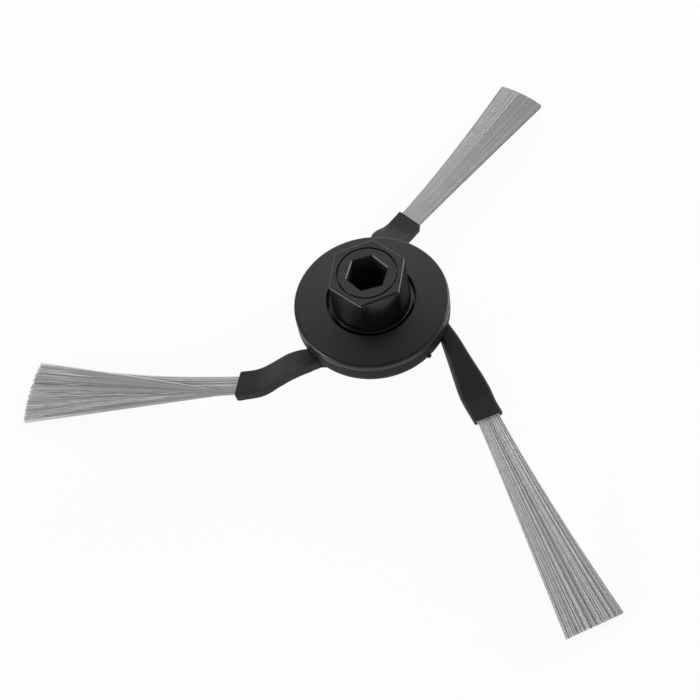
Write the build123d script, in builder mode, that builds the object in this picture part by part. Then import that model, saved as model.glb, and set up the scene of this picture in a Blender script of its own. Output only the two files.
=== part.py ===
# Three-armed sweeping side brush for a robot vacuum, drive boss up, in millimetres.
# The origin is on the turning axis at the mouth of the drive socket, and +Z points out of the socket.
import os
from math import atan, cos, degrees, radians, sin, sqrt, tan

from build123d import *

# Hexagonal drive socket and the round bush that holds it
socket_flats = 8.2
socket_depth = 12.0
socket_turn = 4.7
socket_lead_in = 0.3
bush_diameter = 13.3
bush_edge_round = 0.12

# Drive boss: a hexagon at the top that runs into a round foot, with a flange under the disc
boss_flats = 16.0
boss_turn = 11.7
boss_height = 10.15
boss_edge_round = 0.45
bore_clearance = 0.05
bush_slit_width = 0.3
bush_slit_depth = 1.2
foot_diameter = 19.3
foot_ledge = 0.3
foot_edge_round = 0.15
flange_overlap = 2.5
flange_thick = 1.6

# Shallow conical cover disc
disc_diameter = 36.0
disc_crown = 1.2
disc_edge = 1.6
disc_rim_round = 0.8
ring_gap = 0.55
ring_edge_round = 0.25

# Soft bowl under the disc
hub_depth = 8.4
bowl_step = 0.05
bowl_round = 4.2
bowl_clearance = 0.1
nub_diameter = 1.0
nub_height = 0.3
nub_depth = 5.1
nub_turn = -54.5

# Arms: each follows a straight line in plan that passes beside the axis, drops in an S from a narrow neck,
# and widens into a flat holder in line with its bristles
arm_count = 3
arm_heading = 48.0
arm_offset = 11.7
arm_length = 18.7
arm_bury = 4.5
arm_root_depth = 6.0
arm_drop = 10.5
neck_width = 3.4
neck_thick = 4.0
holder_length = 6.8
holder_straight = 4.0
holder_width = 6.9
holder_thick = 3.1
arm_edge_round = 0.8
arm_end_tilt = 4.4
arm_end_yaw = -7.4
arm_stations = 12

# Slot in the end of each arm and the bristles rooted in it
slot_width = 5.4
slot_height = 1.35
slot_depth = 3.6
slot_clearance = 0.05
root_recess = 0.6
filament_diameter = 0.28
filament_columns = 15
filament_rows = 4
filament_gap = 0.03
filament_bury = 0.3
fan_length = 53.6
fan_width = 14.6
fan_height = 1.5
fan_sweep = -3.5
fan_dip = 9.2
fan_tip_tilt = -5.2

# Levels down from the boss's top
crown_z = -boss_height
rim_z = crown_z - disc_crown
disc_under_z = rim_z - disc_edge
flange_under_z = disc_under_z - flange_thick
bowl_under_z = rim_z - hub_depth
arm_root_z = rim_z - arm_root_depth

# Radii that follow from their neighbours
bush_radius = bush_diameter / 2
foot_radius = foot_diameter / 2
ring_radius = foot_radius + ring_gap
flange_radius = ring_radius + flange_overlap
disc_radius = disc_diameter / 2
bowl_radius = disc_radius - bowl_step

# Places along an arm's line, from the point nearest the axis
wall_reach = sqrt(bowl_radius**2 - arm_offset**2)
arm_start = wall_reach - arm_bury
arm_end = wall_reach + arm_length
bend_length = arm_length - holder_straight
taper_length = arm_length - holder_length
fan_slope = tan(radians(fan_dip))
bend_drop = arm_drop - fan_slope * holder_straight

heading = Vector(cos(radians(arm_heading)), sin(radians(arm_heading)), 0)
leftward = Vector(-heading.Y, heading.X, 0)
upward = Vector(0, 0, 1)

os.makedirs("parts", exist_ok=True)


def bend_share(reach):
    # Share of the bend passed at a place along the arm
    return min(max((reach - wall_reach) / bend_length, 0), 1)


def turn_share(reach):
    # Share of the end's tilt and yaw reached at a place along the arm
    share = bend_share(reach)
    return share * share * (3 - 2 * share)


def arm_slope(reach):
    # Downward angle of the arm: level at the neck, steepest halfway, the fan's dip at the holder
    share = bend_share(reach)
    bend_slope = 6 * share * (1 - share) * bend_drop / bend_length
    return degrees(atan(bend_slope + fan_slope * share * (3 * share - 2)))


def arm_point(reach):
    # Middle of the arm's section
    share = bend_share(reach)
    straight = max(reach - wall_reach - bend_length, 0)
    drop = bend_drop * turn_share(reach) + fan_slope * (bend_length * share * share * (share - 1) + straight)
    return heading * reach + leftward * arm_offset + upward * (arm_root_z - drop)


def facing_plane(origin, dip, yaw, tilt):
    # Plane whose X runs left and whose Z points along the arm, turned down, then left, then left edge up
    square = Plane(origin=origin, x_dir=leftward, z_dir=heading)
    return Plane(square.location * Rotation(dip, yaw, tilt))


def arm_plane(reach):
    # Section plane of the arm at a place along it
    share = turn_share(reach)
    return facing_plane(arm_point(reach), arm_slope(reach), arm_end_yaw * share, arm_end_tilt * share)


def slot_plane(depth):
    # Section plane of the slot at a depth behind the arm's end: square to the fan, with the end's tilt
    mouth = facing_plane(arm_point(arm_end), fan_dip, fan_sweep, arm_end_tilt)
    return mouth.offset(-depth)


with BuildPart() as socket_bush:
    with BuildSketch(Plane.XY.offset(flange_under_z)):
        Circle(bush_radius)
    extrude(amount=-flange_under_z)
    fillet(socket_bush.edges().group_by(Axis.Z)[-1], bush_edge_round)
    with BuildSketch(Plane.XY):
        RegularPolygon(socket_flats / 2, 6, major_radius=False, rotation=socket_turn)
    extrude(amount=-socket_depth, mode=Mode.SUBTRACT)
    mouth_edges = socket_bush.faces().sort_by(Axis.Z)[-1].inner_wires()[0].edges()
    chamfer(mouth_edges, socket_lead_in)
socket_bush.part.label = "socket_bush"
export_step(socket_bush.part, "parts/socket_bush.step")

with BuildPart() as drive_boss:
    with BuildSketch(Plane.XY.offset(crown_z)):
        with BuildLine():
            for corner in range(6):
                CenterArc((0, 0), foot_radius - foot_ledge, boss_turn + corner * 60, 60)
        make_face()
    with BuildSketch(Plane.XY):
        RegularPolygon(boss_flats / 2, 6, major_radius=False, rotation=boss_turn)
    loft(ruled=True)
    fillet(drive_boss.faces().sort_by(Axis.Z)[-1].edges(), boss_edge_round)
    with BuildSketch(Plane.XY.offset(disc_under_z)):
        Circle(foot_radius)
    extrude(amount=crown_z - disc_under_z)
    fillet(drive_boss.edges().filter_by(GeomType.CIRCLE).group_by(SortBy.RADIUS)[-1].sort_by(Axis.Z)[-1],
           foot_edge_round)
    with BuildSketch(Plane.XY.offset(flange_under_z)):
        Circle(flange_radius)
    extrude(amount=flange_thick)
    with BuildSketch(Plane.XY):
        Circle(bush_radius + bore_clearance)
    extrude(amount=flange_under_z, mode=Mode.SUBTRACT)
    with BuildSketch(Plane.XY):
        Circle(bush_radius + bush_slit_width)
    extrude(amount=-bush_slit_depth, mode=Mode.SUBTRACT)
drive_boss.part.label = "drive_boss"
export_step(drive_boss.part, "parts/drive_boss.step")

with BuildPart() as cover_disc:
    with BuildSketch(Plane.XZ):
        with BuildLine():
            Polyline(
                (ring_radius, crown_z),
                (disc_radius, rim_z),
                (disc_radius, disc_under_z),
                (ring_radius, disc_under_z),
                close=True,
            )
        make_face()
    revolve(axis=Axis.Z)
    rings = cover_disc.edges().filter_by(GeomType.CIRCLE)
    rim_edges = rings.group_by(SortBy.RADIUS)[-1].sort_by(Axis.Z)
    ring_edge = rings.group_by(SortBy.RADIUS)[0].sort_by(Axis.Z)[-1]
    fillet(rim_edges[-1], disc_rim_round)
    fillet(ring_edge, ring_edge_round)
cover_disc.part.label = "cover_disc"
export_step(cover_disc.part, "parts/cover_disc.step")

# Moulding nub low on the bowl's wall: its plane lies inside the wall and faces outwards
nub_outward = Vector(cos(radians(nub_turn)), sin(radians(nub_turn)), 0)
nub_middle = nub_outward * (bowl_radius - nub_diameter) + upward * (rim_z - nub_depth)
nub_plane = Plane(origin=nub_middle, z_dir=nub_outward)

# One arm, shaped before it joins the bowl
with BuildPart() as strap:
    for station in range(arm_stations + 1):
        reach = arm_start + (arm_end - arm_start) * station / arm_stations
        share = min(max((reach - wall_reach) / taper_length, 0), 1)
        width = neck_width + (holder_width - neck_width) * share
        thick = neck_thick + (holder_thick - neck_thick) * share
        with BuildSketch(arm_plane(reach)):
            RectangleRounded(width, thick, arm_edge_round)
    loft()
    with BuildSketch(slot_plane(slot_depth)):
        Rectangle(slot_width, slot_height)
    extrude(amount=slot_depth + holder_width, mode=Mode.SUBTRACT)

with BuildPart() as arm_spider:
    with BuildSketch(Plane.XY.offset(bowl_under_z)):
        Circle(bowl_radius)
    extrude(amount=disc_under_z - bowl_under_z)
    fillet(arm_spider.edges().group_by(Axis.Z)[0], bowl_round)
    with BuildSketch(Plane.XY.offset(flange_under_z)):
        Circle(flange_radius + bowl_clearance)
    extrude(amount=flange_thick, mode=Mode.SUBTRACT)
    with PolarLocations(0, arm_count):
        add(strap.part)
    with BuildSketch(nub_plane):
        Circle(nub_diameter / 2)
    extrude(amount=nub_diameter + nub_height)
arm_spider.part.label = "arm_spider"
export_step(arm_spider.part, "parts/arm_spider.step")

# One tuft: a block that fills the slot, and filaments that fan out of it in staggered rows
block_width = slot_width - 2 * slot_clearance
block_height = slot_height - 2 * slot_clearance
column_pitch = filament_diameter + filament_gap
root_plane = slot_plane(root_recess + filament_bury)
tip_middle = slot_plane(-fan_length).origin
tip_plane = facing_plane(tip_middle, fan_dip, arm_end_yaw, fan_tip_tilt)

with BuildPart() as tuft:
    with BuildSketch(slot_plane(slot_depth)):
        Rectangle(block_width, block_height)
    extrude(amount=slot_depth - root_recess)
    filaments = []
    for row in range(filament_rows):
        row_share = row / (filament_rows - 1) - 0.5
        stagger = row / filament_rows
        for column in range(filament_columns):
            root_across = (column - (filament_columns - 1) / 2) * column_pitch
            root_up = row_share * (filament_rows - 1) * column_pitch
            tip_across = ((column + stagger + 0.5 / filament_rows) / filament_columns - 0.5) * fan_width
            root = root_plane.from_local_coords(Vector(root_across, root_up, 0))
            tip = tip_plane.from_local_coords(Vector(tip_across, row_share * fan_height, 0))
            with BuildSketch(Plane(origin=root, x_dir=leftward, z_dir=tip - root)):
                RegularPolygon(filament_diameter / 2, 6)
            filaments.append(extrude(amount=(tip - root).length, mode=Mode.PRIVATE))
    add(filaments)

for arm in range(arm_count):
    with BuildPart() as bristle_tuft:
        with PolarLocations(0, 1, start_angle=arm * 360 / arm_count):
            add(tuft.part)
    tuft_name = f"bristle_tuft_{arm + 1}"
    bristle_tuft.part.label = tuft_name
    export_step(bristle_tuft.part, f"parts/{tuft_name}.step")
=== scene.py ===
from math import cos, radians, sin

import bmesh
import bpy
from mathutils import Matrix, Vector


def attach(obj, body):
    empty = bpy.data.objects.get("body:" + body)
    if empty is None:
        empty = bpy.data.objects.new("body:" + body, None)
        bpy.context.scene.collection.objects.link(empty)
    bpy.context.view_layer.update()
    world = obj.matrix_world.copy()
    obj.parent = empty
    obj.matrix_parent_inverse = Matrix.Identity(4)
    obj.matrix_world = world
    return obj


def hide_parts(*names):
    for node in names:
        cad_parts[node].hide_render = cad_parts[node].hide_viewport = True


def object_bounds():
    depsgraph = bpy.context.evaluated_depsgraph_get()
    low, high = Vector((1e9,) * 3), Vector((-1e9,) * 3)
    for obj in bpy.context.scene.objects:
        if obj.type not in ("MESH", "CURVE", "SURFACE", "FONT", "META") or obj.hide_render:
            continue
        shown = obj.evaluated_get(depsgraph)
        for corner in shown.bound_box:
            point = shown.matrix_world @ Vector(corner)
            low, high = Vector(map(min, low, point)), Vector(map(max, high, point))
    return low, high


# Side brush with three bristle arms: finishes, bristles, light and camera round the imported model
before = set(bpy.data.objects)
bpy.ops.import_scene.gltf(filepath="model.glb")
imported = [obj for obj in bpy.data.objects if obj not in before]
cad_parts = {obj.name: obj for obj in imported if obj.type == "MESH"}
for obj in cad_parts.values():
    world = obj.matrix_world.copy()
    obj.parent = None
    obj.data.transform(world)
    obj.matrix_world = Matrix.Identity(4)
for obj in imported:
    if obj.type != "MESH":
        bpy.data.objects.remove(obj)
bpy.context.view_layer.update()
scene = bpy.context.scene
mm = 0.001
print("frame loaded:", ", ".join(sorted(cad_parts)))


class Wire:
    # one output socket of a node tree, so that node maths reads as sums
    def __init__(self, socket):
        self.socket = socket

    @staticmethod
    def add(tree, kind, settings=None, sockets=None, out=0):
        node = tree.nodes.new(kind)
        for name, value in (settings or {}).items():
            setattr(node, name, value)
        for key, value in (sockets or {}).items():
            if isinstance(value, Wire):
                tree.links.new(value.socket, node.inputs[key])
            else:
                node.inputs[key].default_value = value
        return Wire(node.outputs[out]) if len(node.outputs) else None

    def other(self, name):
        return Wire(self.socket.node.outputs[name])

    def isVector(self):
        return self.socket.type == "VECTOR"

    def maths(self, operation, left, right):
        tree = self.socket.id_data
        vectors = [term for term in (left, right) if isinstance(term, Wire) and term.isVector()]
        if vectors and operation == "MULTIPLY":  # a vector times a number
            number = right if vectors[0] is left else left
            return Wire.add(tree, "ShaderNodeVectorMath", {"operation": "SCALE"},
                            {0: vectors[0], "Scale": number})
        kind = "ShaderNodeVectorMath" if vectors else "ShaderNodeMath"
        return Wire.add(tree, kind, {"operation": operation}, {0: left, 1: right})

    def __add__(self, term):
        return self.maths("ADD", self, term)

    def __radd__(self, term):
        return self.maths("ADD", term, self)

    def __sub__(self, term):
        return self.maths("SUBTRACT", self, term)

    def __rsub__(self, term):
        return self.maths("SUBTRACT", term, self)

    def __mul__(self, term):
        return self.maths("MULTIPLY", self, term)

    def __rmul__(self, term):
        return self.maths("MULTIPLY", term, self)

    def __truediv__(self, term):
        return self.maths("DIVIDE", self, term)

    def __rtruediv__(self, term):
        return self.maths("DIVIDE", term, self)

    def __pow__(self, term):
        return self.maths("POWER", self, term)

    def __rpow__(self, term):
        return self.maths("POWER", term, self)

    def __lt__(self, term):
        return self.maths("LESS_THAN", self, term)

    def __gt__(self, term):
        return self.maths("GREATER_THAN", self, term)


def grey(level):
    return (level, level, level, 1)


def newMaterial(name):
    material = bpy.data.materials.new(name)
    material.use_nodes = True
    material.node_tree.nodes.clear()
    return material, material.node_tree


def showSurface(tree, shader):
    Wire.add(tree, "ShaderNodeOutputMaterial", None, {"Surface": shader})


def noise(tree, place, size, detail):
    # smooth noise round 0.5, with lumps about `size` metres across
    return Wire.add(tree, "ShaderNodeTexNoise", None, {"Vector": place, "Scale": 1 / size, "Detail": detail})


def mixColour(tree, share, first, second):
    # a mix of colours has its share in socket 0, its colours in 6 and 7, and comes out of socket 2
    return Wire.add(tree, "ShaderNodeMix", {"data_type": "RGBA"}, {0: share, 6: first, 7: second}, 2)


# Tones run from 0 to 1; grain, deepLevel and hubRadius are in millimetres
mouldedFinishes = {
    "bush_plastic": {
        "dark": 0.004, "light": 0.007, "gloss": 0.36, "rough": 0.24, "spread": 0.08,
        # the deep level and tone on the next line lighten the socket's depth: painted light
        "grain": 0.25, "bump": 0.08, "deepLevel": -0.6, "deepPaintedLight": 0.03,
    },
    "boss_plastic": {
        "dark": 0.003, "light": 0.005, "gloss": 0.36, "rough": 0.20, "spread": 0.08,
        "grain": 0.25, "bump": 0.08,
    },
    "disc_plastic": {
        "dark": 0.004, "light": 0.007, "gloss": 0.36, "rough": 0.36, "spread": 0.08,
        "grain": 0.30, "bump": 0.10,
    },
    "arm_rubber": {
        "dark": 0.020, "light": 0.027, "gloss": 0.18, "rough": 0.60, "spread": 0.10,
        # the hub radius and shade on the next line darken the bowl round the axis: painted shade
        "grain": 0.35, "bump": 0.18, "hubRadius": 18.2, "paintedHubShade": 0.30,
    },
}
# The same on every moulding: size of the cloudy tones and depth of the grain in millimetres, noise detail
mouldTexture = {"cloud": 6.0, "depth": 0.05, "detail": 3.0}


def mouldedFinish(slot, finish):
    # black moulding: cloudy tone, fine grain from the mould, gloss that varies a little
    material, tree = newMaterial(slot + "_finish")
    place = Wire.add(tree, "ShaderNodeTexCoord", out="Object")
    cloud = noise(tree, place, mouldTexture["cloud"] * mm, mouldTexture["detail"])
    grain = noise(tree, place, finish["grain"] * mm, mouldTexture["detail"])
    colour = mixColour(tree, cloud, grey(finish["dark"]), grey(finish["light"]))
    if "paintedHubShade" in finish:  # painted shade: the bowl inside a radius round the axis is darker than the arms
        flat = Wire.add(tree, "ShaderNodeVectorMath", {"operation": "MULTIPLY"}, {0: place, 1: (1, 1, 0)})
        radius = Wire.add(tree, "ShaderNodeVectorMath", {"operation": "LENGTH"}, {0: flat}, "Value")
        shaded = mixColour(tree, finish["paintedHubShade"], grey(0), colour)
        colour = mixColour(tree, radius < finish["hubRadius"] * mm, colour, shaded)
    if "deepPaintedLight" in finish:  # painted light: a lighter grey deep in the socket, below a level
        level = Wire.add(tree, "ShaderNodeSeparateXYZ", None, {"Vector": place}, "Z")
        colour = mixColour(tree, level < finish["deepLevel"] * mm, colour, grey(finish["deepPaintedLight"]))
    shader = Wire.add(tree, "ShaderNodeBsdfPrincipled", None, {
        "Base Color": colour,
        "Roughness": finish["rough"] + (cloud - 0.5 + grain - 0.5) * finish["spread"],
        "Specular IOR Level": finish["gloss"],
        "Normal": Wire.add(tree, "ShaderNodeBump", None, {
            "Strength": finish["bump"],
            "Distance": mouldTexture["depth"] * mm,
            "Height": grain,
        }),
    })
    showSurface(tree, shader)
    return material


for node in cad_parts.values():
    slotName = node.data.materials[0].name
    if slotName in mouldedFinishes:
        node.material_slots[0].material = mouldedFinish(slotName, mouldedFinishes[slotName])
print("moulded finishes on the hub and arms")

# Filament finish: mottleSize is in millimetres
nylon = {
    "dark": 0.27, "light": 0.76, "gloss": 0.25, "rough": 0.6,
    "mottle": 0.15, "mottleSize": 2.5, "detail": 2.0,
}


def nylonFinish():
    # grey filament: each strand has its own tone, with faint lighter and darker lengths along it
    material, tree = newMaterial("bristle_nylon_finish")
    tone = Wire.add(tree, "ShaderNodeAttribute", {"attribute_name": "tone"}, None, "Fac")
    place = Wire.add(tree, "ShaderNodeTexCoord", out="Object")
    mottle = noise(tree, place, nylon["mottleSize"] * mm, nylon["detail"])
    share = tone + (mottle - 0.5) * nylon["mottle"]
    shader = Wire.add(tree, "ShaderNodeBsdfPrincipled", None, {
        "Base Color": mixColour(tree, share, grey(nylon["dark"]), grey(nylon["light"])),
        "Roughness": nylon["rough"] + (mottle - 0.5) * nylon["mottle"],
        "Specular IOR Level": nylon["gloss"],
    })
    showSurface(tree, shader)
    return material


def strandTree():
    # fan of filaments between a root strip and a tip strip, one curve each, swept into a thin tube
    tree = bpy.data.node_groups.new("strandTree", "GeometryNodeTree")
    inputs = {
        "Root": "Vector", "Root Across": "Vector", "Root Rise": "Vector",
        "Tip": "Vector", "Tip Across": "Vector", "Tip Rise": "Vector", "Bow": "Vector",
        "Strands": "Int", "Rings": "Int", "Sides": "Int", "Radius": "Float",
        "Flare": "Float", "Stray": "Float", "Wander": "Float", "Ragged": "Float", "Bulge": "Float",
        "Layering": "Float",
        "Crossing": "Float", "Crossing Root": "Float", "Crossing Width": "Float", "Crossing Flare": "Float",
        "Crossing Start": "Float", "Crossing Layer": "Float", "Crossing Lift": "Float",
        "Crossing Painted Shade": "Float", "Under Painted Light": "Float",
        "Lightness": "Float", "Contrast": "Float", "Streaks": "Float", "Streak Depth": "Float",
        "Painted Shade": "Float", "Painted Shade Side": "Float", "Lines": "Float", "Line Depth": "Float",
        "Edge Painted Light": "Float", "Edge Share": "Float", "Seed": "Int", "Finish": "Material",
    }
    for name, kind in inputs.items():
        tree.interface.new_socket(name=name, in_out="INPUT", socket_type="NodeSocket" + kind)
    tree.interface.new_socket(name="Bristles", in_out="OUTPUT", socket_type="NodeSocketGeometry")
    given = Wire.add(tree, "NodeGroupInput").other

    straight = Wire.add(tree, "GeometryNodeCurvePrimitiveLine")
    rings = Wire.add(tree, "GeometryNodeResampleCurve", {"mode": "COUNT"},
                     {"Curve": straight, "Count": given("Rings")})
    strands = Wire.add(tree, "GeometryNodeDuplicateElements", {"domain": "SPLINE"},
                       {"Geometry": rings, "Amount": given("Strands")})
    strandNumber = strands.other("Duplicate Index")

    def chance(step):
        # a number from 0 to 1 for each strand
        return Wire.add(tree, "FunctionNodeRandomValue", {"data_type": "FLOAT"},
                        {"ID": strandNumber, "Seed": given("Seed") + step}, 1)

    def blend(share, first, second):
        return first + (second - first) * share

    # where each strand lies: across the fan from -0.5 at the right edge to 0.5 at the left, and its layer
    across = (strandNumber + chance(2)) / given("Strands") - 0.5
    reach = 1 - chance(1) * given("Ragged") + given("Bulge") * (1 - 4 * across * across)
    along = Wire.add(tree, "GeometryNodeSplineParameter", out="Factor") * reach
    height = Wire.add(tree, "ShaderNodeClamp", None,
                      {"Value": (chance(3) - 0.5) * given("Layering"), "Min": -0.5, "Max": 0.5})
    isCrossing = chance(4) < given("Crossing")
    rootAcross = blend(isCrossing, across, given("Crossing Root") + across * given("Crossing Width"))
    crossingHeight = height * given("Crossing Layer") + given("Crossing Lift")
    rootHeight = blend(isCrossing, height, crossingHeight)
    tipAcross = across + (chance(5) - 0.5) * given("Stray")
    crossingFlare = 1 - (1 - given("Crossing Flare")) * (0.5 - across)
    start = isCrossing * given("Crossing Start")
    beyond = Wire.add(tree, "ShaderNodeMath", {"operation": "MAXIMUM"}, {0: along - start, 1: 0.0})
    spread = (beyond / (1 - start)) ** blend(isCrossing, given("Flare"), crossingFlare)
    drift = Wire.add(tree, "FunctionNodeRandomValue", {"data_type": "FLOAT_VECTOR"},
                     {0: (-1, -1, -1), 1: (1, 1, 1), "ID": strandNumber, "Seed": given("Seed") + 6})
    middle = given("Root") + (given("Tip") - given("Root")) * along
    sideways = (given("Root Across") * (rootAcross * (1 - spread))
                + given("Tip Across") * (tipAcross * spread))
    upward = given("Root Rise") * (rootHeight * (1 - along)) + given("Tip Rise") * (height * along)
    bend = drift * (given("Wander") * along * along) + given("Bow") * (4 * along * (1 - along))
    placed = Wire.add(tree, "GeometryNodeSetPosition", None,
                      {"Geometry": strands, "Position": middle + sideways + upward + bend})

    # tone of each strand: streaks and lines across the fan, and painted light and shade on its layers and
    # right tips
    inPaintedShade = across < given("Painted Shade Side")
    streak = Wire.add(tree, "ShaderNodeTexNoise", {"noise_dimensions": "1D"},
                      {"W": across * given("Streaks") + given("Seed"), "Scale": 1.0, "Detail": 2.0})
    group = Wire.add(tree, "ShaderNodeMath", {"operation": "FLOOR"}, {0: across * given("Lines")})
    line = Wire.add(tree, "ShaderNodeTexWhiteNoise", {"noise_dimensions": "1D"},
                    {"W": group + given("Seed")}, "Value")
    # painted highlight: the crossing layer's edge strands are made lighter
    isEdge = isCrossing * (across < given("Edge Share") - 0.5)
    varied = (chance(7) - 0.5) * given("Contrast") + (streak - 0.5) * given("Streak Depth")
    lightness = given("Lightness") + varied + (line - 0.5) * given("Line Depth")
    # painted shade: the crossing layer darkens towards its root
    crossingTone = isEdge * given("Edge Painted Light") - (1 - along) * given("Crossing Painted Shade")
    # painted light: the under layer is lighter where the crossing layer shades it
    layerTone = blend(isCrossing, given("Under Painted Light"), crossingTone)
    # painted shade: the right side of the fan darkens towards the tips
    tone = lightness - inPaintedShade * along * given("Painted Shade") + layerTone
    toned = Wire.add(tree, "GeometryNodeStoreNamedAttribute", {"data_type": "FLOAT", "domain": "POINT"},
                     {"Geometry": placed, "Name": "tone", "Value": tone})
    section = Wire.add(tree, "GeometryNodeCurvePrimitiveCircle", {"mode": "RADIUS"},
                       {"Resolution": given("Sides"), "Radius": given("Radius")})
    tubes = Wire.add(tree, "GeometryNodeCurveToMesh", None,
                     {"Curve": toned, "Profile Curve": section, "Fill Caps": True})
    realized = Wire.add(tree, "GeometryNodeRealizeInstances", None, {"Geometry": tubes})
    finished = Wire.add(tree, "GeometryNodeSetMaterial", None,
                        {"Geometry": realized, "Material": given("Finish")})
    Wire.add(tree, "NodeGroupOutput", None, {"Bristles": finished})
    return tree


# Where a tuft leaves its arm: reach along the arm's heading, offset to its left, level, the strip that it
# fills there and its height at the tips, in millimetres, and angles in degrees
tuftRoot = {
    "reach": 32.35, "offset": 11.7, "level": -27.85,
    "depth": 3.0, "width": 5.0, "height": 1.05, "tipHeight": 1.1,
    "tilt": 4.4, "dip": 9.2, "sweep": -3.5,
}
# The same in every tuft, unless its own lie says otherwise
strandSizes = {
    "Strands": 420, "Rings": 9, "Sides": 5, "Radius": 0.07 * mm,
    "Wander": 0.15 * mm, "Ragged": 0.0015, "Bulge": 0.0, "Layering": 1.0,
    "Crossing": 0.0, "Crossing Root": 0.45, "Crossing Width": 0.04, "Crossing Flare": 0.9,
    "Crossing Start": 0.09, "Crossing Layer": 0.3, "Crossing Lift": 0.35,
    "Crossing Painted Shade": 0.35, "Under Painted Light": 0.0, "Edge Painted Light": 0.0, "Edge Share": 0.012,
    "Streaks": 24.0, "Lines": 56.0, "Line Depth": 0.0, "Painted Shade": 0.0, "Painted Shade Side": 0.05,
}
# Each tuft's cut end as left and right corner, its arm's bend, swell of the left edge and sag of the neck,
# in millimetres, the shares of the arm's length where the swell rises and falls, and how the filaments lie
# Lightness is set tuft by tuft for how brightly each fan is lit: painted light and shade on one nylon
tufts = {
    "bristle_tuft_1": {
        "heading": 48, "left": (86.1, 16.1, -37.1), "right": (84.4, 3.4, -35.8),
        "bow": -0.3, "bend": -0.6, "sag": 1.3,
        "swell": -1.2, "swellRise": (0.0, 0.15), "swellFall": (0.20, 0.60),
        "lie": {"Flare": 1.45, "Stray": 0.01, "Wander": 0.05 * mm, "Bulge": 0.012, "Layering": 6.0,
                "Radius": 0.12 * mm, "Lightness": 0.25, "Contrast": 0.04, "Streak Depth": 0.9,
                "Painted Shade": 0.25, "Seed": 11},
    },
    "bristle_tuft_2": {
        "heading": 168, "left": (86.4, 16.3, -37.1), "right": (83.8, 0.8, -35.8),
        "bow": 0.0, "bend": 1.0, "sag": 0.0,
        "swell": 1.15, "swellRise": (-0.05, 0.12), "swellFall": (0.10, 0.60),
        "lie": {"Flare": 2.1, "Stray": 0.03, "Bulge": 0.012, "Crossing": 0.7,
                "Lightness": 0.5, "Contrast": 0.3, "Streak Depth": 0.7,
                "Edge Painted Light": 1.0, "Under Painted Light": 0.35, "Seed": 23},
    },
    "bristle_tuft_3": {
        "heading": 288, "left": (85.4, 15.0, -37.1), "right": (84.9, 0.6, -35.8),
        "bow": -0.28, "bend": 0.0, "sag": 0.0,
        "swell": 0.4, "swellRise": (0.35, 0.65), "swellFall": (0.75, 1.00),
        "lie": {"Flare": 1.35, "Stray": 0.005, "Wander": 0.05 * mm,
                "Lightness": 0.92, "Contrast": 0.6, "Streak Depth": 0.6,
                "Line Depth": 1.3, "Seed": 37},
    },
}


def armAxes(tuft):
    # along an arm and to its left, in plan
    turn = radians(tuft["heading"])
    return Vector((cos(turn), sin(turn), 0)), Vector((-sin(turn), cos(turn), 0))


def armPoint(heading, leftward, place):
    reach, offset, level = place
    return (heading * reach + leftward * offset + Vector((0, 0, level))) * mm


def tuftStrips(tuft):
    # root and tip strips of a tuft: middle, full width and full height as vectors
    heading, leftward = armAxes(tuft)
    sweep, dip, tilt = (radians(tuftRoot[name]) for name in ("sweep", "dip", "tilt"))
    outward = (heading * cos(sweep) + leftward * sin(sweep)) * cos(dip) - Vector((0, 0, sin(dip)))
    side = leftward * cos(sweep) - heading * sin(sweep)
    top = outward.cross(side)
    offset = tuftRoot["offset"] + tuft["bend"]
    mouth = armPoint(heading, leftward, (tuftRoot["reach"], offset, tuftRoot["level"]))
    left = armPoint(heading, leftward, tuft["left"])
    right = armPoint(heading, leftward, tuft["right"])
    return {
        "Root": mouth - outward * tuftRoot["depth"] * mm,
        "Root Across": (side * cos(tilt) + top * sin(tilt)) * tuftRoot["width"] * mm,
        "Root Rise": (top * cos(tilt) - side * sin(tilt)) * tuftRoot["height"] * mm,
        "Tip": (left + right) / 2,
        "Tip Across": left - right,
        "Tip Rise": top * tuftRoot["tipHeight"] * mm,
        "Bow": leftward * tuft["bow"] * mm,
    }


def makeTuft(name, tuft, tree, finish):
    carrier = bpy.data.objects.new(name + "_carrier", bpy.data.meshes.new(name + "_carrier"))
    scene.collection.objects.link(carrier)
    growth = carrier.modifiers.new("strands", "NODES")
    growth.node_group = tree
    sizes = {**strandSizes, **tuftStrips(tuft), **tuft["lie"], "Finish": finish}
    for item in tree.interface.items_tree:
        if item.in_out == "INPUT":
            growth[item.identifier] = sizes[item.name]
    evaluated = carrier.evaluated_get(bpy.context.evaluated_depsgraph_get())
    mesh = bpy.data.meshes.new_from_object(evaluated)
    carrier.modifiers.remove(growth)
    bpy.data.objects.remove(carrier)
    mesh.shade_smooth()
    piece = bpy.data.objects.new(name + "_strands", mesh)
    scene.collection.objects.link(piece)
    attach(piece, "root")
    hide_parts(name)
    print(name, "strands:", len(mesh.polygons), "faces")


bristleTree = strandTree()
bristleFinish = nylonFinish()
for tuftName, tuftSizes in tufts.items():
    makeTuft(tuftName, tuftSizes, bristleTree, bristleFinish)

# Soft arms, in millimetres and degrees: the bend starts outside the bowl, and each arm has a lane to itself
softArms = {
    "start": 18.1, "lane": 6.0, "half": 3.0, "wall": 17.96, "end": 34.3,
    "merge": 0.001, "crease": 30,
}


def smoothShare(place, span):
    # 0 before a span, 1 after it, with a soft step between
    share = min(max((place - span[0]) / (span[1] - span[0]), 0), 1)
    return share * share * (3 - 2 * share)


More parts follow.
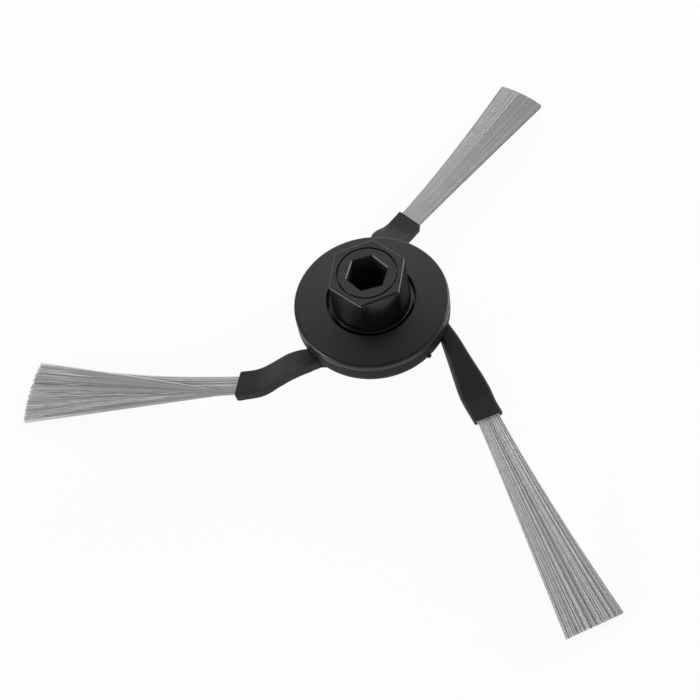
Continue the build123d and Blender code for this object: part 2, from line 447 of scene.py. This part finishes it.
def bendArms():
    # copy of the soft moulding with each arm's bend, swell and sag, so that they lie as in the photo
    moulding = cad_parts["arm_spider"]
    mesh = moulding.data.copy()
    work = bmesh.new()
    work.from_mesh(mesh)
    work.transform(moulding.matrix_world)
    bmesh.ops.remove_doubles(work, verts=work.verts, dist=softArms["merge"] * mm)
    for tuft in tufts.values():
        heading, leftward = armAxes(tuft)
        for vertex in work.verts:
            reach = vertex.co.dot(heading) / mm
            aside = vertex.co.dot(leftward) / mm - tuftRoot["offset"]
            if reach < 0 or abs(aside) > softArms["lane"]:
                continue
            outside = (vertex.co.xy.length / mm - softArms["wall"]) / (softArms["end"] - softArms["wall"])
            if outside < 0:  # on the bowl
                continue
            swell = smoothShare(outside, tuft["swellRise"]) * (1 - smoothShare(outside, tuft["swellFall"]))
            leftness = smoothShare(aside, (-softArms["half"], softArms["half"]))
            bend = smoothShare(reach, (softArms["start"], tuftRoot["reach"]))
            vertex.co += leftward * ((tuft["bend"] * bend + tuft["swell"] * swell * leftness) * mm)
            vertex.co.z -= tuft["sag"] * swell * mm
    work.to_mesh(mesh)
    work.free()
    if "custom_normal" in mesh.attributes:  # they belong to the arms before the bend
        mesh.attributes.remove(mesh.attributes["custom_normal"])
    mesh.shade_smooth()
    mesh.set_sharp_from_angle(angle=radians(softArms["crease"]))
    mesh.materials[0] = moulding.material_slots[0].material
    piece = bpy.data.objects.new("arm_spider_bent", mesh)
    scene.collection.objects.link(piece)
    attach(piece, "root")
    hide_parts("arm_spider")
    print("arms bent:", len(mesh.polygons), "faces")


bendArms()

floorSizes = {"half": 3.0, "gap": 0.2 * mm, "colour": 0.92, "glow": 0.92}


def makeFloor():
    # white table that keeps a faint shadow: most of what the eye sees is its own even white
    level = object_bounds()[0].z - floorSizes["gap"]
    half = floorSizes["half"]
    mesh = bpy.data.meshes.new("floor")
    corners = [(-half, -half, level), (half, -half, level), (half, half, level), (-half, half, level)]
    mesh.from_pydata(corners, [], [(0, 1, 2, 3)])
    floor = bpy.data.objects.new("floor", mesh)
    scene.collection.objects.link(floor)
    material, tree = newMaterial("floor_white")
    path = Wire.add(tree, "ShaderNodeLightPath").other
    isSeen = Wire.add(tree, "ShaderNodeMath", {"operation": "MAXIMUM"}, {
        0: path("Is Camera Ray"),
        1: Wire.add(tree, "ShaderNodeMath", {"operation": "MAXIMUM"},
                    {0: path("Is Glossy Ray"), 1: path("Is Transmission Ray")}),
    })
    paint = Wire.add(tree, "ShaderNodeBsdfDiffuse", None, {"Color": grey(floorSizes["colour"])})
    glow = Wire.add(tree, "ShaderNodeEmission", None, {"Color": grey(1), "Strength": 1})
    shader = Wire.add(tree, "ShaderNodeMixShader", None, {0: isSeen * floorSizes["glow"], 1: paint, 2: glow})
    showSurface(tree, shader)
    mesh.materials.append(material)


makeFloor()

# Soft boxes round the table: place and edge in metres, power in watts
softBoxes = {
    "backBox": {"place": (0.0, 0.62, 0.52), "edge": 1.00, "power": 3.3},
    "leftBox": {"place": (-0.66, -0.17, 0.13), "edge": 0.24, "power": 2.6},
    "rightBox": {"place": (0.60, 0.22, 0.15), "edge": 0.30, "power": 2.8},
}
sky = {"horizon": 0.70, "zenith": 0.32, "reach": 0.6}  # reach: Z of a direction that has the zenith's tone


def makeLights():
    for name, box in softBoxes.items():
        lamp = bpy.data.lights.new(name, "AREA")
        lamp.size = box["edge"]
        lamp.energy = box["power"]
        holder = bpy.data.objects.new(name, lamp)
        holder.location = box["place"]
        holder.rotation_euler = Vector(box["place"]).to_track_quat("Z", "Y").to_euler()
        scene.collection.objects.link(holder)
    world = bpy.data.worlds.new("studio")
    world.use_nodes = True
    tree = world.node_tree
    tree.nodes.clear()
    direction = Wire.add(tree, "ShaderNodeTexCoord", out="Generated")
    height = Wire.add(tree, "ShaderNodeSeparateXYZ", None, {"Vector": direction}, "Z")
    climb = Wire.add(tree, "ShaderNodeMath", {"operation": "DIVIDE", "use_clamp": True},
                     {0: height, 1: sky["reach"]})
    light = mixColour(tree, climb, grey(sky["horizon"]), grey(sky["zenith"]))
    Wire.add(tree, "ShaderNodeOutputWorld", None, {
        "Surface": Wire.add(tree, "ShaderNodeBackground", None, {"Color": light, "Strength": 1}),
    })
    scene.world = world


makeLights()
print("floor, soft boxes and sky in place")

# The photo's camera, in millimetres and degrees
cameraSizes = {
    "place": (-7.05, -231.94, 339.07), "elevation": 57.9, "roll": -11.2,
    "lens": 94.0, "sensor": 36.0, "nearest": 10.0,
}


def makeCamera():
    lens = bpy.data.cameras.new("photoCamera")
    lens.lens = cameraSizes["lens"]
    lens.sensor_width = cameraSizes["sensor"]
    lens.clip_start = cameraSizes["nearest"] * mm
    camera = bpy.data.objects.new("photoCamera", lens)
    tip = Matrix.Rotation(radians(90 - cameraSizes["elevation"]), 4, "X")
    roll = Matrix.Rotation(radians(cameraSizes["roll"]), 4, "Z")
    camera.matrix_world = Matrix.Translation(Vector(cameraSizes["place"]) * mm) @ tip @ roll
    scene.collection.objects.link(camera)
    scene.camera = camera


makeCamera()
scene.view_settings.view_transform = "Standard"
print("camera set")
